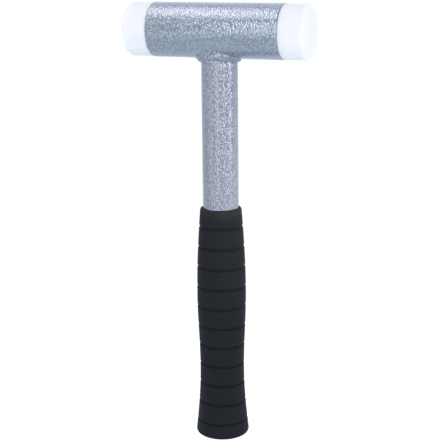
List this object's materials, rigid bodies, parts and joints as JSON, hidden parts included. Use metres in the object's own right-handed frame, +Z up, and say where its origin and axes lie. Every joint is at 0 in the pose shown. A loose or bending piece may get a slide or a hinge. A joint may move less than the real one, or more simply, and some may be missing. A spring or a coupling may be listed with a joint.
{
  "type": "dead blow hammer",
  "caption": "Recoilless soft-face hammer: shot-filled painted steel tube head with push-in white nylon striking faces, on a welded steel tube handle with a ring-grooved black rubber grip.",
  "frame": {"origin": "centre of the flat butt of the grip, where the hammer stands upright as in the picture", "axes": "+Z up the handle to the head; X along the head, through both striking faces; Y across the head"},
  "size_m": [0.1398, 0.0408, 0.332],
  "materials": {
    "head_paint": "blue-grey hammertone paint, semi-gloss, pebbled",
    "weld_paint": "blue-grey paint over a weld bead, semi-gloss",
    "handle_paint": "blue-grey hammertone paint, semi-gloss, pebbled",
    "grip_rubber": "black moulded rubber, matte",
    "disc_steel": "plain turned steel",
    "shot_steel": "bright steel shot",
    "face_nylon": "white nylon, satin, slightly translucent"
  },
  "bodies": {
    "hammer": {"head_tube": "head_paint", "weld_bead": "weld_paint", "handle_tube": "handle_paint", "rubber_grip": "grip_rubber", "left_chamber_disc": "disc_steel", "right_chamber_disc": "disc_steel"},
    "shot": {"shot_charge": "shot_steel"},
    "left_face": {"left_striking_face": "face_nylon"},
    "right_face": {"right_striking_face": "face_nylon"}
  },
  "joints": [
    {"name": "shot_slide", "type": "slide", "parent": "hammer", "child": "shot", "axis": [1, 0, 0], "range_m": [-0.011, 0.011]},
    {"name": "left_face_pull", "type": "slide", "parent": "hammer", "child": "left_face", "axis": [-1, 0, 0], "range_m": [0, 0.012]},
    {"name": "right_face_pull", "type": "slide", "parent": "hammer", "child": "right_face", "axis": [1, 0, 0], "range_m": [0, 0.012]}
  ]
}
